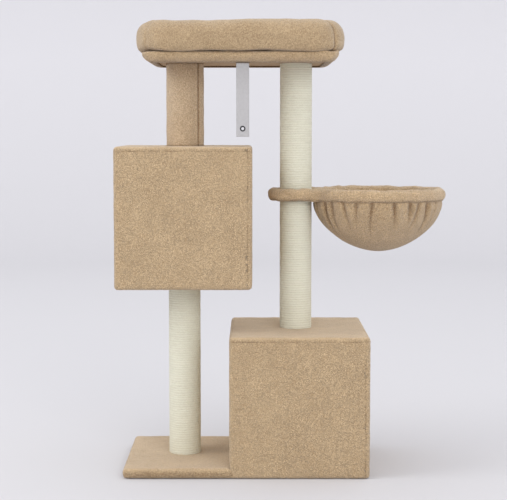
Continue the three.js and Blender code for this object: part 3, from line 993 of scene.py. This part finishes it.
class CATTREE_OT_pad(bpy.types.Operator):
    """Stuffs the loose pad that lies inside the bolster"""

    bl_idname = "cat_tree.pad"
    bl_label = "Pad"

    def execute(self, context):
        low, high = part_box("bed_pad")
        thin = Vector((0.002, 0.002, 0.008))
        bm = block(low + Vector((0.002, 0.002, 0)), high - thin, 0.010, 30)
        middle = (low + high) / 2
        half = (high - low) / 2
        for v in bm.verts:
            u, w = (v.co.x - middle.x) / half.x, (v.co.y - middle.y) / half.y
            tuck = 0.006 * (abs(u) ** 6 * (1 - w * w) + abs(w) ** 6 * (1 - u * u))
            v.co.x -= math.copysign(tuck * abs(u), u)
            v.co.y -= math.copysign(tuck * abs(w), w)
        plush = context.scene.cat_tree_plush
        finish = plush_finish("pad_plush", plush, curl=0.85, relief=0.0009, contrast=0.85)
        made = piece("bed_pad_plush", bm, finish, ["bed_pad"], "tree")
        stuffed(made, 0.006, 4.0, 0.010)
        fitted(made, low, high)
        refined(made)

        def finish_shape(bm):
            painted_shade = kept_marks(bm, "painted_shade")
            bm.normal_update()
            seam = (low.z + high.z) / 2 - 0.002
            for v in bm.verts:
                edge = bell(v.co.z - seam, 0.0022) * (1 if abs(v.normal.z) < 0.8 else 0)
                v.co += v.normal * (0.0012 * ripple(v.co, 0.035, 12) - 0.0018 * edge)
                # Painted shade in the pad's pressed side seam.
                v[painted_shade] = 0.7 * edge
                v.co.z = max(v.co.z, low.z)

        reshape(made, finish_shape)
        return {"FINISHED"}


# ---- basket ----


class HoopTrack:
    """The bent wire of the basket: a small ring round the post, a neck and a large ring."""

    def __init__(self, neck):
        post_low, post_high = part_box("right_upper_post_wrap")
        sleeve_low, sleeve_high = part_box("basket_sleeve")
        pouch_low, pouch_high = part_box("basket_pouch")
        self.height = (sleeve_low.z + sleeve_high.z) / 2
        self.post = Vector(((post_low.x + post_high.x) / 2, 0, self.height))
        self.bowl = Vector(((pouch_low.x + pouch_high.x) / 2, 0, self.height))
        self.wide, self.tall = 0.0127, (sleeve_high.z - sleeve_low.z) / 2
        self.ring = (sleeve_high.y - sleeve_low.y) / 2 - self.wide
        self.collar = self.post.x - sleeve_low.x - self.wide
        self.clear = (post_high.x - post_low.x) / 2 + 0.0012
        self.neck = neck
        span, near, far = self.bowl.x - self.post.x, self.collar + neck, self.ring + neck
        self.post_turn = math.acos((span**2 + near**2 - far**2) / (2 * span * near))
        self.bowl_turn = math.acos((span**2 + far**2 - near**2) / (2 * span * far))

    def start(self):
        out = Vector((math.cos(self.post_turn), math.sin(self.post_turn), 0))
        return self.post + out * self.collar

    def legs(self):
        still = Vector((0, 0, 0))
        reach = self.collar + self.neck
        side = Vector((reach * math.cos(self.post_turn), reach * math.sin(self.post_turn), 0))
        far_neck = self.post + Vector((side.x, -side.y, 0))
        near_neck = self.post + side
        back = -(math.pi - self.post_turn - self.bowl_turn)
        return [
            (44, self.post, 2 * math.pi - 2 * self.post_turn, still),
            (14, far_neck, back, still),
            (120, self.bowl, 2 * math.pi - 2 * self.bowl_turn, still),
            (14, near_neck, back, still),
        ]


class CATTREE_OT_sleeve(bpy.types.Operator):
    """Sews a padded plush sleeve over the basket's wire"""

    bl_idname = "cat_tree.sleeve"
    bl_label = "Basket rim"

    def execute(self, context):
        track = HoopTrack(context.scene.cat_tree_basket.neck)
        turn = Matrix.Rotation(track.post_turn, 4, "Z")
        bm = bmesh.new()
        oval(bm, track.wide, track.tall, track.tall, 20, 2.2, 2.2, Vector((0, 0, 0)))
        bmesh.ops.transform(bm, matrix=Matrix.Translation(track.start()) @ turn, verts=bm.verts[:])
        sweep(bm, track.legs())

        # The large ring goes on between its two necks, in a stretch of its own that runs into both.
        gate = bmesh.new()
        oval(gate, track.wide * 0.92, track.tall * 0.96, track.tall * 0.96, 20, 2.2, 2.2, Vector((0, 0, 0)))
        across = Matrix.Rotation(math.pi - track.bowl_turn - 0.06, 4, "Z")
        on_ring = Matrix.Translation(track.bowl) @ across @ Matrix.Translation((track.ring, 0, 0))
        bmesh.ops.transform(gate, matrix=on_ring, verts=gate.verts[:])
        first = bmesh.ops.contextual_create(gate, geom=gate.edges[:])["faces"]
        bmesh.ops.spin(
            gate, geom=first, cent=track.bowl, axis=UP, angle=2 * track.bowl_turn + 0.12, steps=26,
            use_merge=False, use_duplicate=False,
        )
        bmesh.ops.recalc_face_normals(gate, faces=gate.faces[:])
        spare = bpy.data.meshes.new("gate")
        gate.to_mesh(spare)
        gate.free()
        bm.from_mesh(spare)
        bpy.data.meshes.remove(spare)

        bm.normal_update()
        for v in bm.verts:
            soft = 0.0022 * ripple(v.co, 0.024, 13) + 0.0018 * ripple(v.co, 0.011, 14)
            v.co += v.normal * soft
            away = (v.co - track.post).xy.to_3d()
            if away.length < track.clear:
                v.co += away.normalized() * (track.clear - away.length)
        # Painted shade: a dark band along the underside of the rim.
        mark(bm, "painted_shade", lambda v: 0.5 * bell(v.co.z - (track.height - 0.8 * track.tall), 0.0018))
        settings = context.scene.cat_tree_plush
        finish = plush_finish("sleeve_plush", settings, curl=1.0, relief=0.0018, contrast=0.85, tone=1.14)
        made = piece("basket_sleeve_plush", bm, finish, ["basket_sleeve"], "basket")
        return {"FINISHED"}


class CATTREE_OT_pouch(bpy.types.Operator):
    """Hangs the basket's gathered pouch inside the large ring"""

    bl_idname = "cat_tree.pouch"
    bl_label = "Basket pouch"

    def execute(self, context):
        basket = context.scene.cat_tree_basket
        track = HoopTrack(basket.neck)
        low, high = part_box("basket_pouch")
        radius, depth = (high.y - low.y) / 2, high.z - low.z
        rows, roundness = 44, 1.82
        bottom = Vector((track.bowl.x, 0, low.z))
        points = []
        for i in range(rows + 1):
            angle = math.pi / 2 * i / rows
            r = radius * math.sin(angle) ** (2 / roundness) if i else 0.0
            z = high.z - depth * max(math.cos(angle), 0.0) ** (2 / roundness)
            points.append(Vector((bottom.x + r, 0, z)))
        points.append(Vector((bottom.x + radius - 0.0015, 0, high.z + 0.005)))
        bm = bmesh.new()
        line(bm, points)
        lathe(bm, bottom, UP, 300, join=1e-5)
        face_out(bm)
        draw = random.Random(8)
        pleats = []
        for i in range(basket.pleats):
            at = 2 * math.pi * (i + draw.uniform(-0.33, 0.33)) / basket.pleats
            pleats.append((at, draw.uniform(0.35, 0.8), draw.uniform(0.55, 1.0), draw.choice((-1, 1))))
        painted_shade = kept_marks(bm, "painted_shade")
        for v in bm.verts:
            out = (v.co - bottom).xy.to_3d()
            if out.length < 0.01:
                continue
            angle = math.atan2(out.y, out.x)
            down = (high.z - v.co.z) / depth
            push = 0.0016 * ripple(v.co, 0.045, 15)
            dark = 0.0
            for at, long, strength, lean in pleats:
                apart = (angle - at - 0.10 * lean * down + math.pi) % (2 * math.pi) - math.pi
                if abs(apart) > 0.2:
                    continue
                fade = max(0.0, 1 - max(down, 0.0) / long)
                fold = bell(apart, 0.036) * fade * strength
                ridge = bell(apart - 0.075 * lean, 0.045) * fade * strength
                push += basket.pleat_depth * (0.6 * ridge - fold)
                dark = max(dark, bell(apart, 0.030) * math.sqrt(fade) * strength)
            inward = min(1.0, max(0.0, down) * 12 + 0.25)
            v.co += out.normalized() * push * inward
            # Painted shade in the pleats' folds; everywhere else 0.10, which darkens the whole pouch a
            # little towards the shade colour.
            v[painted_shade] = max(dark, 0.10)
        finish = plush_finish(
            "pouch_plush", context.scene.cat_tree_plush, curl=0.9, relief=0.0018, contrast=0.90, tone=1.13
        )
        made = piece("basket_pouch_plush", bm, finish, ["basket_pouch"], "basket")
        solidify(made, 0.0035)
        return {"FINISHED"}


# ---- wall strap ----


def strap_path():
    """Points along the strap's webbing: under the board, over the bend, down, and doubled back."""
    tab_low, tab_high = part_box("strap_tab")
    web_low, web_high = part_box("strap_webbing")
    middle_y = (web_low.y + web_high.y) / 2
    bend, layer = 0.0045, 0.0006
    top = (tab_low.z + tab_high.z) / 2
    front = middle_y - layer
    foot = web_low.z + 2 * layer
    doubled = 0.036
    path = [(tab_high.y, top)]
    inner = (front + bend, top - bend)
    path += [(inner[0] + (tab_high.y - inner[0]) * (1 - i / 14), top) for i in range(1, 14)]
    for i in range(9):
        angle = math.pi / 2 * i / 8
        path.append((inner[0] - bend * math.sin(angle), inner[1] + bend * math.cos(angle)))
    path += [(front, inner[1] + (foot - inner[1]) * i / 80) for i in range(1, 81)]
    for i in range(1, 6):
        angle = math.pi * i / 5
        path.append((middle_y - layer * math.cos(angle), foot - layer * math.sin(angle)))
    path += [(middle_y + layer, foot + doubled * i / 20) for i in range(1, 21)]
    return path


class CATTREE_OT_strap(bpy.types.Operator):
    """Hangs the webbing strap that ties the tree to a wall, with its stitched end"""

    bl_idname = "cat_tree.strap"
    bl_label = "Wall strap"

    def execute(self, context):
        low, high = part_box("strap_webbing")
        width = high.x - low.x
        middle = Vector(((low.x + high.x) / 2, (low.y + high.y) / 2, 0))
        path = strap_path()
        lengths = [0.0]
        for (y0, z0), (y1, z1) in zip(path, path[1:]):
            lengths.append(lengths[-1] + math.hypot(y1 - y0, z1 - z0))
        bm = bmesh.new()
        columns, rows = 14, len(path) - 1
        bmesh.ops.create_grid(bm, x_segments=columns, y_segments=rows, size=0.5, calc_uvs=True)
        weave = bm.loops.layers.uv.verify()
        for f in bm.faces:
            for corner in f.loops:
                row = round((corner.vert.co.y + 0.5) * rows)
                corner[weave].uv = (corner.vert.co.x * width * 100, lengths[row] * 100)
        for v in bm.verts:
            y, z = path[round((v.co.y + 0.5) * rows)]
            v.co = Vector((middle.x + v.co.x * width, y, z))
        eye_low, eye_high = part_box("strap_eyelet")
        eye = (eye_low + eye_high) / 2
        hole = 0.0036
        inside = []
        for f in bm.faces:
            away = f.calc_center_median() - eye
            if away.xz.length < hole and abs(away.y) < 0.002:
                inside.append(f)
        bmesh.ops.delete(bm, geom=inside, context="FACES")
        for v in bm.verts:
            away = v.co - eye
            near = abs(away.y) < 0.002 and away.xz.length < 2.0 * hole
            if near and any(e.is_boundary for e in v.link_edges):
                away.y = 0
                spot = eye + away.normalized() * hole
                v.co.x, v.co.z = spot.x, spot.z
        for v in bm.verts:
            if abs(v.co.y - middle.y) < 0.002:
                v.co.y += 0.0002 * ripple(v.co, 0.03, 16)
        bmesh.ops.recalc_face_normals(bm, faces=bm.faces[:])
        made = piece("strap_web", bm, webbing_finish(), ["strap_tab", "strap_webbing"], None)
        solidify(made, 0.00115, offset=0.0)
        settle(made)
        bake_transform(made)

        thread = bmesh.new()
        half_x, bottom, top = 0.0105, low.z + 0.0035, low.z + 0.0325
        long, thin, raised = 0.0011, 0.00026, 0.00022
        stitches = [(-half_x + 2 * half_x * i / 7, z, long, thin) for i in range(8) for z in (bottom, top)]
        for i in range(1, 10):
            z = bottom + (top - bottom) * i / 10
            stitches += [(x, z, thin, long) for x in (-half_x, half_x)]
        for face in (-1, 1):
            for x, z, wide, tall in stitches:
                place = Matrix.Translation((middle.x + x, middle.y + face * 0.00125, z))
                shape = Matrix.Diagonal((wide, raised, tall, 1))
                bmesh.ops.create_icosphere(thread, subdivisions=1, radius=1.0, matrix=place @ shape)
        sewing = piece("strap_stitches", thread, thread_finish(), [], "strap")
        return {"FINISHED"}


class CATTREE_OT_eyelet(bpy.types.Operator):
    """Presses the rolled metal eyelet into the end of the strap"""

    bl_idname = "cat_tree.eyelet"
    bl_label = "Eyelet"

    def execute(self, context):
        low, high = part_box("strap_eyelet")
        centre = (low + high) / 2
        flange, hole = (high.x - low.x) / 2, 0.0031
        side = [
            (hole, 0.0), (hole, 0.0009), (hole + 0.0003, 0.0014), (hole + 0.0008, 0.00175),
            (hole + 0.0015, 0.0018), (hole + 0.0022, 0.0017), (flange - 0.0002, 0.00145),
            (flange, 0.0013), (flange - 0.0003, 0.00115), (hole + 0.0010, 0.00115),
            (hole + 0.0006, 0.0009), (hole + 0.0006, 0.0),
        ]
        section = side + [(r, -y) for r, y in side[-2:0:-1]]
        bm = bmesh.new()
        ends = line(bm, [centre + Vector((r, y, 0)) for r, y in section])
        bm.edges.new((ends[-1], ends[0]))
        lathe(bm, centre, (0, 1, 0), 48)
        bmesh.ops.recalc_face_normals(bm, faces=bm.faces[:])
        finish = metal_finish("eyelet_metal", (0.030, 0.030, 0.033), 0.5, metallic=0.3)
        piece("strap_eyelet_ring", bm, finish, ["strap_eyelet"], "strap")
        return {"FINISHED"}


# ---- boards and hardware ----


class CATTREE_OT_hardware(bpy.types.Operator):
    """Finishes the boards, tubes, plugs, bolts and wire that keep the frame's own shapes"""

    bl_idname = "cat_tree.hardware"
    bl_label = "Boards and hardware"

    def execute(self, context):
        board, paper = board_finish(), cardboard_finish()
        zinc = metal_finish("zinc", (0.62, 0.63, 0.65), 0.35)
        black = metal_finish("black_wire", (0.035, 0.035, 0.038), 0.5, metallic=0.4)
        by_name = (
            (("basket_hoop", "basket_bracket"), black),
            (("bolt", "washer", "stud", "screw"), zinc),
            (("board", "panel", "plug"), board),
            (("core",), paper),
        )
        for name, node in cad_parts.items():
            if node.hide_render:
                continue
            finish = next((f for keys, f in by_name if any(key in name for key in keys)), None)
            if finish is None:
                raise RuntimeError(f"{name} has no finish")
            node.data.materials.clear()
            node.data.materials.append(finish)
        return {"FINISHED"}


# ---- stage ----


class CATTREE_OT_stage(bpy.types.Operator):
    """Sets up the pale backdrop, the soft lights and the camera"""

    bl_idname = "cat_tree.stage"
    bl_label = "Stage"

    def execute(self, context):
        scene = context.scene
        stage = scene.cat_tree_stage
        bm = bmesh.new()
        floor, bend, wall, below = 5.0, 1.8, 2.0, -0.0004
        points = [Vector((0, 0, below)), Vector((floor, 0, below))]
        for i in range(1, 17):
            angle = math.pi / 2 * i / 16
            points.append(Vector((floor + bend * math.sin(angle), 0, bend * (1 - math.cos(angle)))))
        points.append(Vector((floor + bend, 0, wall)))
        line(bm, points)
        lathe(bm, (0, 0, 0), UP, 96, join=1e-5)
        bmesh.ops.recalc_face_normals(bm, faces=bm.faces[:])
        shown("backdrop", bm, backdrop_finish(tuple(stage.backdrop)))

        for name, power, size, place, aim in (
            ("key", stage.key, 3.6, (-5.4, -1.8, 4.1), (0, 0, 0.45)),
            ("front", stage.key * 0.95, 3.2, (1.9, -5.8, 2.4), (0, 0, 0.5)),
        ):
            data = bpy.data.lights.new(name, "AREA")
            data.energy = power
            data.size = size
            lamp = bpy.data.objects.new(name, data)
            lamp.location = place
            lamp.rotation_euler = (Vector(aim) - Vector(place)).to_track_quat("-Z", "Y").to_euler()
            scene.collection.objects.link(lamp)

        world = bpy.data.worlds.new("studio")
        world.use_nodes = True
        sky = world.node_tree.nodes["Background"]
        sky.inputs["Color"].default_value = (0.97, 0.97, 1.0, 1)
        sky.inputs["Strength"].default_value = 1.10
        scene.world = world

        data = bpy.data.cameras.new("camera")
        data.lens = stage.lens
        data.sensor_width = 36
        camera = bpy.data.objects.new("camera", data)
        camera.location = (stage.side, -stage.distance, stage.height)
        camera.rotation_euler = (math.pi / 2 - stage.pitch, 0, 0)
        scene.collection.objects.link(camera)
        scene.camera = camera
        scene.view_settings.view_transform = "Standard"
        return {"FINISHED"}


# ---- panel and run ----

GROUPS = (
    ("cat_tree_plush", CatTreePlush),
    ("cat_tree_sisal", CatTreeSisal),
    ("cat_tree_bed", CatTreeBed),
    ("cat_tree_basket", CatTreeBasket),
    ("cat_tree_stage", CatTreeStage),
)
OPERATORS = (
    CATTREE_OT_base,
    CATTREE_OT_condos,
    CATTREE_OT_sisal,
    CATTREE_OT_plush_post,
    CATTREE_OT_bed_cover,
    CATTREE_OT_bolster,
    CATTREE_OT_pad,
    CATTREE_OT_sleeve,
    CATTREE_OT_pouch,
    CATTREE_OT_strap,
    CATTREE_OT_eyelet,
    CATTREE_OT_hardware,
    CATTREE_OT_stage,
)


class CATTREE_PT_panel(bpy.types.Panel):
    """Lists the pieces and the settings that shape them"""

    bl_idname = "CATTREE_PT_panel"
    bl_label = "Cat tree"
    bl_space_type = "VIEW_3D"
    bl_region_type = "UI"
    bl_category = "Cat tree"

    def draw(self, context):
        for attribute, group in GROUPS:
            box = self.layout.box()
            box.label(text=group.__doc__)
            for key in group.__annotations__:
                box.prop(getattr(context.scene, attribute), key)
        for operator in OPERATORS:
            self.layout.operator(operator.bl_idname)


def register():
    for attribute, group in GROUPS:
        bpy.utils.register_class(group)
        setattr(bpy.types.Scene, attribute, PointerProperty(type=group))
    for operator in OPERATORS:
        bpy.utils.register_class(operator)
    bpy.utils.register_class(CATTREE_PT_panel)


def unregister():
    bpy.utils.unregister_class(CATTREE_PT_panel)
    for operator in reversed(OPERATORS):
        bpy.utils.unregister_class(operator)
    for attribute, group in reversed(GROUPS):
        delattr(bpy.types.Scene, attribute)
        bpy.utils.unregister_class(group)


def main():
    register()
    bpy.ops.cat_tree.base()
    bpy.ops.cat_tree.condos()
    bpy.ops.cat_tree.sisal()
    bpy.ops.cat_tree.plush_post()
    bpy.ops.cat_tree.bed_cover()
    bpy.ops.cat_tree.bolster()
    bpy.ops.cat_tree.pad()
    bpy.ops.cat_tree.sleeve()
    bpy.ops.cat_tree.pouch()
    bpy.ops.cat_tree.strap()
    bpy.ops.cat_tree.eyelet()
    bpy.ops.cat_tree.hardware()
    bpy.ops.cat_tree.stage()


if __name__ == "__main__":
    main()
